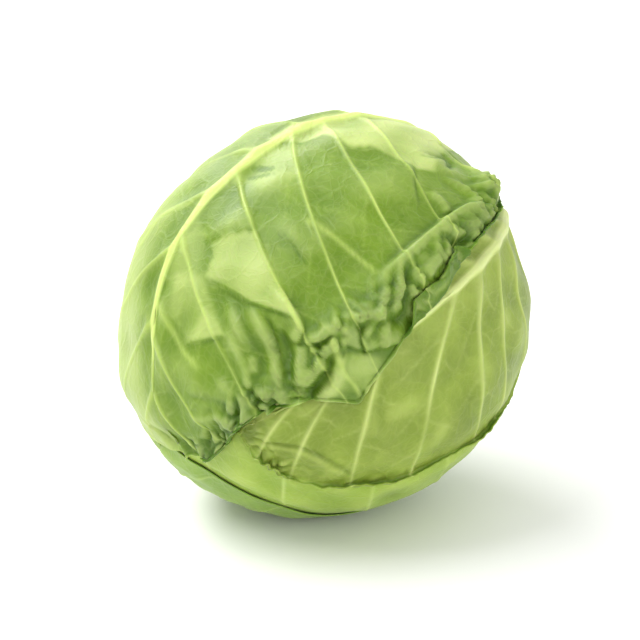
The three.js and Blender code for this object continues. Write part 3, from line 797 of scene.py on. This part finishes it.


# The right leaf
# A pale, smooth wrapper leaf with a thick midrib at the upper right and veins that fan down
# from it. Its lower edge is rolled and dark, partly from a painted shadow inside the roll, and
# folds over itself at the left.
def right_relief(leaf, relief):
    relief.ribs(leaf, (4.4, 1.0), (12, 4.0), (1.0, 0.25), (1.5, 0.7), 0.9)
    relief.small_veins(leaf, 51)
    relief.quilt(leaf, 1.0, 30, 52)
    wave = 0.5 + 0.5 * np.sin(2.1 * relief.v + 0.6)
    near_edge = np.clip(1 - relief.from_edge / 12, 0, 1)
    on_right = relief.side == "right"
    relief.lift += np.where(on_right, 0.7 * near_edge ** 2 * (0.3 + 0.7 * wave), 0)
    relief.crease([(7, 82), (16, 70), (25, 62), (38, 56), (51, 52)], 0.5, 0.9, step=1.1, reach=9)
    relief.crease([(9, 20), (18, 28), (34, 36)], 0.3, 1.2, step=0.5, shade=-0.2)
    pucker = facets(relief.x, relief.y, 53, 11)
    at_fold = over(6.6, 7.4, 9.2, 9.8, relief.v)
    relief.lift += np.where(on_right, (0.7 + 1.3 * at_fold) * near_edge * np.abs(pucker), 0)
    relief.lift += np.where(on_right, 0.9 * at_fold * near_edge, 0)
    panels = np.abs(np.sin(math.pi * relief.v)) * smooth(0.15, 0.4, relief.u)
    panels = panels * smooth(1.0, 0.8, relief.u)
    relief.shade += 0.1 - panels * (0.45 + 0.25 * Ripples(54, 22)(relief.x, relief.y))
    # A painted shadow along the inner side of the rolled lower edge, where the roll shades the
    # blade.
    lower = smooth(3.4, 4.2, relief.v)
    relief.shade -= np.where(on_right, 0.5 * hump(relief.from_edge - 3.5, 1.6) * lower, 0)


def right_hem(side, v):
    if side == "left":
        return 1.0, 2.0, 30.0, 0.0
    along = over(3.0, 4.0, 8.6, 9.5, v)
    width = 1.0 + along * (2.4 + 1.3 * np.sin(3.1 * v) + 0.5 * np.sin(7.9 * v))
    short = 1.5 + 3.5 * over(1.5, 2.5, 5.2, 6.4, v)
    return width, 0.9 + 0.2 * np.sin(4.3 * v), 40 + 110 * along, short


right_leaf = leaf_blade(2, vein_rows((0, 2, 40), (2, 10, 192)),
                        spread((0, 0.6, 36), (0.6, 1, 42)), spread((0, 1, 78)),
                        right_relief, right_hem, press=(0, 7))
right_skin = leaf_finish("right_leaf_skin", (0.12, 0.18, 0.010, 1), (0.24, 0.33, 0.035, 1),
                         (0.48, 0.56, 0.15, 1), (0.54, 0.62, 0.20, 1), (0.58, 0.65, 0.26, 1))
set_in_place(right_leaf, right_skin, "right_leaf")


# The back leaf
# A mid-green wrapper leaf round the underside and the back, so the head rests on it. Its
# near edge shows as a thin dark line along the bottom.
def back_relief(leaf, relief):
    relief.ribs(leaf, (4.6, 0.8), (10.5, 2.2), (1.0, 0.25), (1.5, 0.6), 0.8)
    relief.small_veins(leaf, 61)
    relief.quilt(leaf, 1.2, 26, 62)
    wave = 0.5 + 0.5 * np.sin(3.4 * relief.v + 2.6)
    near_edge = np.clip(1 - relief.from_edge / 14, 0, 1)
    relief.lift += 0.25 * near_edge ** 2 * (0.4 + 0.6 * wave)


def back_hem(side, v):
    short = 4 * smooth(2.5, 4.0, v) if side == "left" else 0.0
    return 0.8, 2.0, 20.0, short


back_leaf = leaf_blade(3, vein_rows((0, 8, 144)), spread((0, 1, 66)), spread((0, 1, 66)),
                       back_relief, back_hem)
back_skin = leaf_finish("back_leaf_skin", (0.12, 0.22, 0.02, 1), (0.22, 0.35, 0.04, 1),
                        (0.42, 0.54, 0.14, 1), (0.46, 0.58, 0.17, 1), (0.60, 0.69, 0.30, 1))
set_in_place(back_leaf, back_skin, "back_leaf")


# The front leaf
# The large outermost leaf over the top and front. Its right side has wilted: it is gathered
# into sharp folds, crumpled in a band, and turned back on itself along the edge.
FRONT_FOLDS = [
    # line, height, width of its slope towards the left of the line, towards the right, lean
    ([(34, 44), (42, 49), (49, 54), (56, 61), (62, 70)], 3.4, 2.8, 1.3, 1.0),
    ([(46, 44), (54, 47), (60, 51), (66, 58), (71, 66), (73, 74)], 4.4, 2.6, 1.3, 1.4),
    ([(40, 55), (48, 61), (56, 69), (60, 76)], 2.2, 2.6, 1.3, 0.8),
    ([(52, 32), (62, 36), (69, 39), (72, 42), (72, 50)], 3.4, 4.4, 1.2, 0.6),
    ([(75, 46), (76, 49), (77, 55), (79, 64)], 3.7, 2.5, 2.7, 0.2),
    ([(84, 40), (85, 47), (84, 53), (81, 62)], 3.3, 2.5, 2.5, 0.1),
    ([(95, 44), (94, 50), (93, 57), (87, 66)], 4.2, 1.8, 4.6, -0.5),
    ([(74, 47), (80, 40), (83, 35), (84, 28)], 3.4, 1.5, 3.2, -0.8),
    ([(84, 42), (86, 37), (88, 41)], 2.4, 1.6, 1.6, 0.0),
    ([(83, 24), (89, 22), (92, 19), (97, 14)], 3.0, 1.4, 4.0, -0.7),
    ([(86, -2), (92, 7), (96, 15), (100, 18), (107, 27)], 3.2, 1.7, 1.9, 0.3),
    ([(89, -12), (94, -3), (97, 2), (98, 12)], 2.6, 1.7, 1.7, 0.2),
    ([(102, 4), (107, 2), (109, 0), (114, -2)], 2.2, 1.6, 1.6, 0.0),
    ([(88, 8), (88, -4), (89, -17), (88, -35), (86, -48), (83, -68)], 5.0, 7.5, 1.5, 1.7),
    ([(96, -36), (98, -26), (97, -20), (101, -14)], 2.4, 1.8, 1.8, 0.0),
    ([(62, -66), (67, -69), (73, -71), (79, -70), (86, -62)], 2.6, 1.8, 2.0, 0.8),
    ([(69, -52), (76, -53), (83, -51)], 1.8, 1.8, 2.2, 0.4),
    ([(47, -94), (56, -90), (65, -86), (74, -81), (82, -80)], 2.8, 2.0, 2.0, 0.8),
    ([(54, -101), (63, -92), (73, -85), (78, -88)], 2.6, 1.8, 2.0, 0.6),
    ([(74, 76), (79, 73), (83, 69), (83, 65), (79, 62)], 3.4, 2.0, 1.6, 1.0),
    ([(40, 76), (52, 80), (62, 80)], 1.4, 3.0, 2.6, 0.2),
    ([(24, 95), (34, 97), (46, 93), (56, 89)], 1.0, 3.0, 2.0, 0.2),
]
FRONT_VALLEYS = [
    # line, depth, width
    ([(38, 46), (46, 51), (52, 56), (58, 64)], 2.0, 1.4),
    ([(52, 45), (59, 48), (64, 53), (69, 60)], 2.4, 1.5),
    ([(64, 45), (71, 52), (75, 57), (77, 64)], 3.0, 1.8),
    ([(79, 40), (82, 43), (83, 48), (80, 55)], 1.8, 2.2),
    ([(87, 42), (89, 50), (87, 57), (85, 66)], 3.2, 2.0),
    ([(89, 25), (93, 27), (96, 31), (101, 34)], 2.0, 1.4),
    ([(90, -14), (94, -8), (99, 0), (103, 7), (101, 16)], 3.0, 1.8),
    ([(98, -31), (97, -39), (96, -45), (94, -53)], 5.0, 2.3),
    ([(46, -68), (50, -80), (52, -84), (57, -78)], 1.6, 1.5),
    ([(34, -90), (40, -92), (49, -92), (55, -95)], 1.6, 1.5),
    ([(62, 87), (67, 81), (75, 74)], 3.8, 2.2),
    ([(44, -86), (53, -81), (60, -74)], 2.2, 1.8),
]
FRONT_CREASES = [
    # line, depth, width, step up to its left
    ([(70, 39), (61, 41), (52, 43), (42, 44), (30, 44)], 0.3, 0.7, 1.2),
    ([(62, 18), (50, 13), (40, 13)], 0.4, 0.8, 0.5),
    ([(112, 15), (106, 24), (100, 32), (94, 35), (86, 37)], 0.4, 0.9, 2.6),
    ([(44, 60), (32, 67), (23, 72)], 0.2, 0.8, 0.7),
    ([(57, 85), (50, 85), (42, 86), (36, 87), (28, 88)], 0.2, 1.0, 0.6),
    ([(33, 15), (22, 24), (12, 31)], 0.3, 0.9, 1.0),
    ([(6, -11), (11, -13), (16, -14)], 0.1, 1.0, 0.0),
    ([(9, -5), (14, -8), (20, -10)], 0.1, 1.0, 0.0),
    ([(48, -66), (52, -71), (52, -80)], 0.5, 1.0, 0.5),
    ([(33, -88), (37, -95), (30, -108)], 0.5, 1.0, 0.5),
    ([(52, -60), (64, -49), (76, -41)], 0.3, 0.9, 0.6),
]
FRONT_BRANCHES = [
    [(50, 1), (60, 0), (72, 0), (88, 1)],
    [(86, 38), (93, 45), (96, 48), (104, 51), (108, 56)],
    [(4, 60), (15, 68), (23, 73), (29, 75), (37, 78)],
    [(-8, 16), (-24, 26), (-38, 44)],
]
# Patches painted paler, mostly painted highlights where the waxy blade catches the light,
# with paler tone; the last three are a greener patch and small dark marks
FRONT_HIGHLIGHTS_AND_MARKS = [
    # outline, how pale, softness of its edge
    ([(-5, -28), (0, -30), (10, -34), (14, -43), (26, -43), (32, -43), (37, -51), (49, -54),
      (57, -58), (60, -65), (50, -75), (38, -95), (26, -112), (4, -125), (-8, -120), (-8, -60)],
     0.85, 1.6),
    ([(-3, 18), (0, 12), (8, -1), (15, -3), (23, -4), (31, -15), (18, -26), (5, -32), (-1, -22)],
     0.4, 3.0),
    ([(0, 40), (3, 22), (12, 24), (16, 34), (22, 46), (10, 52), (2, 50)], 0.35, 3.0),
    ([(15, 29), (23, 22), (28, 19), (35, 17), (43, 23), (53, 30), (62, 35), (70, 38), (49, 43),
      (32, 42), (24, 43), (22, 33)], 0.5, 0.9),
    ([(8, 46), (22, 43), (36, 54), (42, 60), (32, 67), (24, 71), (12, 62)], 0.35, 2.0),
    ([(30, 54), (38, 57), (43, 60), (33, 66), (26, 69)], 0.3, 1.5),
    ([(92, 38), (108, 24), (112, 34), (108, 52), (98, 60), (88, 62), (86, 50)], 0.4, 3.0),
    ([(0, 12), (8, -1), (24, 6), (32, 15), (17, 26), (7, 26)], -0.2, 2.5),
    ([(5, -10), (16, -12.5), (17, -15), (6, -12.5)], -0.9, 1.0),
    ([(8, -4), (19, -8.5), (21, -10.5), (9, -6)], -0.7, 1.0),
]
# The ridge of gathered folds that the turned-back edge and the crumpled band stand on
FRONT_GATHER = [(50, -104), (68, -92), (84, -74), (94, -54), (98, -34), (98, -10), (94, 12),
                (88, 32), (82, 48), (78, 62), (68, 76), (56, 92), (44, 104)]
GATHER_HEIGHT = (3.6, 3.8)  # of that ridge, and how much more of it towards the stump
CRUMPLE_SIZES = (10, 5.5)  # across the large and small facets of the crumpled band
CRUMPLE_HEIGHTS = (1.6, 0.9)


def front_relief(leaf, relief):
    relief.ribs(leaf, (3.6, 0.8), (12, 4.0), (1.0, 0.3), (1.1, 0.55), 0.8)
    for line in FRONT_BRANCHES:
        relief.side_vein(line, 0.4, 1.2, end_half=0.9, colour=0.35)
    relief.small_veins(leaf, 71, height=0.1, colour=0.1)
    relief.quilt(leaf, 1.0, 28, 72)
    gather = relief.copy_flat()
    gather.fold(FRONT_GATHER, 1.0, 9, 9, taper=0.12)
    gathered = np.where(relief.side == "right", gather.lift, 0)
    stump_end = 1 - smooth(1.0, 5.0, relief.v)
    relief.lift += gathered * (GATHER_HEIGHT[0] + GATHER_HEIGHT[1] * stump_end)
    # Fold crests are painted paler, a painted highlight, and valleys darker, painted shade.
    for line, height, left, right, lean in FRONT_FOLDS:
        relief.fold(line, height, left, right, lean, taper=0.4, shade=0.12)
    for line, depth, width in FRONT_VALLEYS:
        relief.fold(line, -depth, width, width, taper=0.3, shade=-0.5)
    for line, depth, width, step in FRONT_CREASES:
        relief.crease(line, depth, width, step)
    uneven = 0.9 + 0.15 * Ripples(77, 18)(relief.x, relief.y)
    # Painted highlights with paler tone in patches, and a few darker marks.
    for points, amount, soft in FRONT_HIGHLIGHTS_AND_MARKS:
        relief.shade += amount * uneven * inside_patch(relief.x, relief.y, points, soft)
    on_right = np.where(relief.side == "right", 1.0, 0.3)
    near_edge = np.clip(1 - np.maximum(relief.from_edge, 0) / 16, 0, 1)
    lower_end = smooth(5.5, 7.0, relief.v)
    wave = 0.55 + 0.45 * np.sin(2 * math.pi * 8 * (10 - relief.v) / 10 + 0.6)
    relief.lift += (0.8 + 1.6 * lower_end) * on_right * near_edge ** 2 * wave
    dark_end = over(6.4, 7.0, 8.6, 9.4, relief.v) * (on_right - 0.3) / 0.7
    band = smooth(0.15, 0.9, gathered) + 0.25 * near_edge * (on_right - 0.3)
    band += 0.9 * dark_end * smooth(12, 3, relief.from_edge)
    large = facets(relief.x, relief.y, 73, CRUMPLE_SIZES[0])
    small = facets(relief.x, relief.y, 79, CRUMPLE_SIZES[1])
    relief.lift += band * (CRUMPLE_HEIGHTS[0] * large + CRUMPLE_HEIGHTS[1] * small + 0.7)
    # Painted shade over the crumpled band, with each facet painted paler or darker with its
    # height, painted light and shade.
    relief.shade += band * (0.3 * large + 0.25 * small - 0.7)
    # Paler towards the stump, partly paler tone and partly a painted highlight over the top, and
    # paler along the left rim, a painted highlight where the waxy blade turns away.
    near_stump = smooth(3.2, 1.0, relief.v)
    left_rim_highlight = np.where(relief.side == "left", smooth(0.1, 0.45, relief.u), 0)
    relief.shade += np.maximum(0.3 * near_stump, 0.55 * left_rim_highlight)
    # Painted shade along the crumpled lower end of the edge.
    relief.shade -= 0.4 * dark_end * smooth(9, 2, relief.from_edge)
    # The turned-back hem is painted paler, a painted light against the shade it turns into.
    relief.shade += 0.6 * smooth(0, -1.5, relief.from_edge)
    relief.lift = np.maximum(relief.lift, -0.7)


def front_hem(side, v):
    if side == "left":
        return 1.0 + 0.4 * np.sin(4.4 * v), 1.8, 40.0, 5 * smooth(8.4, 9.6, v)
    upper = over(0.8, 1.4, 2.6, 3.0, v)
    second = over(2.9, 3.2, 4.2, 4.5, v)
    lower = over(6.6, 7.2, 8.4, 9.2, v)
    ragged = 0.6 * np.sin(9.7 * v) + 0.4 * np.sin(16.3 * v + 1)
    width = 1.4 + 1.8 * upper + 9.0 * second + 1.4 * lower + ragged * (0.4 + 0.5 * second)
    turned_back = np.maximum(np.maximum(0.6 * upper, second), 0.6 * lower)
    short = 4.5 * over(3.6, 4.4, 5.3, 5.9, v) + 5 * hump(v - 6.3, 0.35)
    short += 5 * smooth(8.4, 9.6, v)
    return width, 0.95 + 0.12 * ragged, 45 + 131 * turned_back, short


front_leaf = leaf_blade(4, vein_rows((0, 2, 36), (2, 8, 186), (8, 10, 36)),
                        spread((0, 0.12, 7), (0.12, 0.55, 17), (0.55, 1, 54)),
                        spread((0, 1, 78)), front_relief, front_hem, hem_columns=14)
front_skin = leaf_finish("front_leaf_skin", (0.06, 0.13, 0.002, 1), (0.155, 0.26, 0.010, 1),
                         (0.46, 0.55, 0.18, 1), (0.50, 0.62, 0.15, 1), (0.51, 0.60, 0.17, 1))
set_in_place(front_leaf, front_skin, "front_leaf")


# The stump
# The stem that every leaf grows from, cut across with a knife: a pale woody ring round a
# softer pith, slightly dried, with the scars of trimmed leaves round it.
STUMP_RADIUS = 14
STUMP_FROM = 79  # from the head's middle to the stump's hidden end
PITH_AT = 90.7  # to the middle of its cut face
STUMP_SIDES = 96

cut_profile = [
    (0.0, STUMP_FROM + 0.1), (10.0, STUMP_FROM + 0.1), (13.0, STUMP_FROM + 0.4),
    (13.6, STUMP_FROM + 1.6), (13.5, 83.0), (13.7, 86.0), (13.6, 89.0), (13.3, 90.4),
    (12.6, 91.2), (11.6, 91.5), (10.6, 91.35), (9.0, 91.5), (7.0, 91.2), (4.0, 90.8),
    (2.0, PITH_AT), (0.0, PITH_AT),
]
profile = curved(cut_profile, 5)[1:-1]
around = np.linspace(0, 2 * math.pi, STUMP_SIDES, endpoint=False)
radius = np.maximum(profile[:, 0], 0.3)[:, None] * np.ones(STUMP_SIDES)
height = profile[:, 1][:, None] * np.ones(STUMP_SIDES)
knobbly = Ripples(91, 9)
ring_x, ring_y = radius * np.cos(around), radius * np.sin(around)
uneven = knobbly(ring_x, ring_y, height)
radius = radius * (1 + 0.018 * uneven - 0.03 * np.maximum(np.cos(5 * around + 0.4), 0) ** 8)
height = height + 0.25 * uneven * (height > 90)
outwards = np.cos(around)[:, None] * FRONT_WAY + np.sin(around)[:, None] * SIDE_WAY
stump_rings = radius[..., None] * outwards + height[..., None] * STUMP_WAY + HEAD_MIDDLE
stump_ends = HEAD_MIDDLE + np.outer([STUMP_FROM + 0.1, PITH_AT], STUMP_WAY)
stump, stump_points = ringed_solid("visual_stump", stump_rings, stump_ends, flipped=True)
from_axis = stump_points - HEAD_MIDDLE
out_along = from_axis @ STUMP_WAY
from_axis = np.linalg.norm(from_axis - out_along[:, None] * STUMP_WAY, axis=1)
give_attribute(stump, "ring", from_axis / STUMP_RADIUS)
give_attribute(stump, "cut", smooth(88.5, 90.5, out_along))

cut_stem = bpy.data.materials.new("cut_stem")
cut_stem.use_nodes = True
nodes, links = cut_stem.node_tree.nodes, cut_stem.node_tree.links
shader = nodes["Principled BSDF"]
ring = nodes.new("ShaderNodeAttribute")
ring.attribute_name = "ring"
rings = nodes.new("ShaderNodeValToRGB")
rings.color_ramp.elements[0].position = 0.0
rings.color_ramp.elements[0].color = (0.72, 0.74, 0.50, 1)
rings.color_ramp.elements[1].position = 1.0
rings.color_ramp.elements[1].color = (0.42, 0.47, 0.20, 1)
for position, shade in ((0.62, (0.70, 0.71, 0.47, 1)), (0.72, (0.55, 0.50, 0.28, 1)),
                        (0.80, (0.66, 0.66, 0.42, 1)), (0.92, (0.52, 0.57, 0.27, 1))):
    rings.color_ramp.elements.new(position).color = shade
links.new(ring.outputs["Fac"], rings.inputs["Fac"])
where = nodes.new("ShaderNodeTexCoord")
grain = nodes.new("ShaderNodeTexNoise")
grain.inputs["Scale"].default_value = 420
grain.inputs["Detail"].default_value = 5
links.new(where.outputs["Object"], grain.inputs["Vector"])
dried = nodes.new("ShaderNodeMix")
dried.data_type = "RGBA"
dried.blend_type = "MULTIPLY"
dried.inputs[0].default_value = 0.5
links.new(rings.outputs["Color"], dried.inputs[6])
links.new(grain.outputs["Color"], dried.inputs[7])
links.new(dried.outputs[2], shader.inputs["Base Color"])
rough_cut = nodes.new("ShaderNodeBump")
rough_cut.inputs["Strength"].default_value = 0.5
rough_cut.inputs["Distance"].default_value = 0.0005
links.new(grain.outputs["Fac"], rough_cut.inputs["Height"])
links.new(rough_cut.outputs["Normal"], shader.inputs["Normal"])
shader.inputs["Roughness"].default_value = 0.75
shader.inputs["Subsurface Weight"].default_value = 0.15
shader.inputs["Subsurface Scale"].default_value = 0.002
set_in_place(stump, cut_stem, "stump")


# Floor, light and camera
# A pale floor, a broad soft light from the upper left, and the photograph's view: level
# with the front of the head, looking down on it by 20 degrees.
VIEW_DOWN = math.radians(20)
VIEW_DISTANCE = 900
MM_PER_PIXEL = 0.42
HEAD_PIXEL = (328, 319)  # where the head's middle shows in the photograph
FRAME_PIXELS = 640
SENSOR = 36
FLOOR_HALF = 6000

floor_corners = np.array([(-1, -1, 0), (1, -1, 0), (1, 1, 0), (-1, 1, 0)]) * FLOOR_HALF
floor = new_piece("floor", floor_corners, [(0, 1, 2, 3)])
pale_floor = bpy.data.materials.new("pale_floor")
pale_floor.use_nodes = True
shader = pale_floor.node_tree.nodes["Principled BSDF"]
shader.inputs["Base Color"].default_value = (0.93, 0.93, 0.93, 1)
shader.inputs["Roughness"].default_value = 0.7
floor.data.materials.append(pale_floor)


def soft_light(name, place, size, power):
    """A round lamp at a place in metres, turned towards the head's middle."""
    lamp = bpy.data.lights.new(name, "AREA")
    lamp.shape = "DISK"
    lamp.size = size
    lamp.energy = power
    holder = bpy.data.objects.new(name, lamp)
    holder.location = place
    aim = HEAD_MIDDLE * MM - np.array(place)
    tilt = math.atan2(math.hypot(aim[0], aim[1]), -aim[2])
    holder.rotation_euler = (tilt, 0, math.atan2(-aim[0], aim[1]))
    bpy.context.scene.collection.objects.link(holder)


soft_light("key", (-0.6, -0.25, 1.0), 0.7, 8.5)
soft_light("fill", (0.8, -0.9, 0.35), 0.9, 5)
soft_light("rim", (-0.5, 0.7, 0.8), 0.7, 9)

bpy.context.scene.view_settings.view_transform = "Standard"
world = bpy.data.worlds.new("studio")
bpy.context.scene.world = world
world.use_nodes = True
world.node_tree.nodes["Background"].inputs["Color"].default_value = (1, 1, 1, 1)
world.node_tree.nodes["Background"].inputs["Strength"].default_value = 0.9

right_way = np.array([1.0, 0.0, 0.0])
up_way = np.array([0.0, math.sin(VIEW_DOWN), math.cos(VIEW_DOWN)])
back_way = np.array([0.0, -math.cos(VIEW_DOWN), math.sin(VIEW_DOWN)])
shift_x = (HEAD_PIXEL[0] - FRAME_PIXELS / 2) * MM_PER_PIXEL
shift_y = (FRAME_PIXELS / 2 - HEAD_PIXEL[1]) * MM_PER_PIXEL
eye = HEAD_MIDDLE - shift_x * right_way - shift_y * up_way + VIEW_DISTANCE * back_way
lens = bpy.data.cameras.new("photo_view")
lens.sensor_width = SENSOR
lens.lens = SENSOR * VIEW_DISTANCE / (FRAME_PIXELS * MM_PER_PIXEL)
camera = bpy.data.objects.new("photo_view", lens)
camera.location = eye * MM
camera.rotation_euler = (math.pi / 2 - VIEW_DOWN, 0, 0)
bpy.context.scene.collection.objects.link(camera)
bpy.context.scene.camera = camera
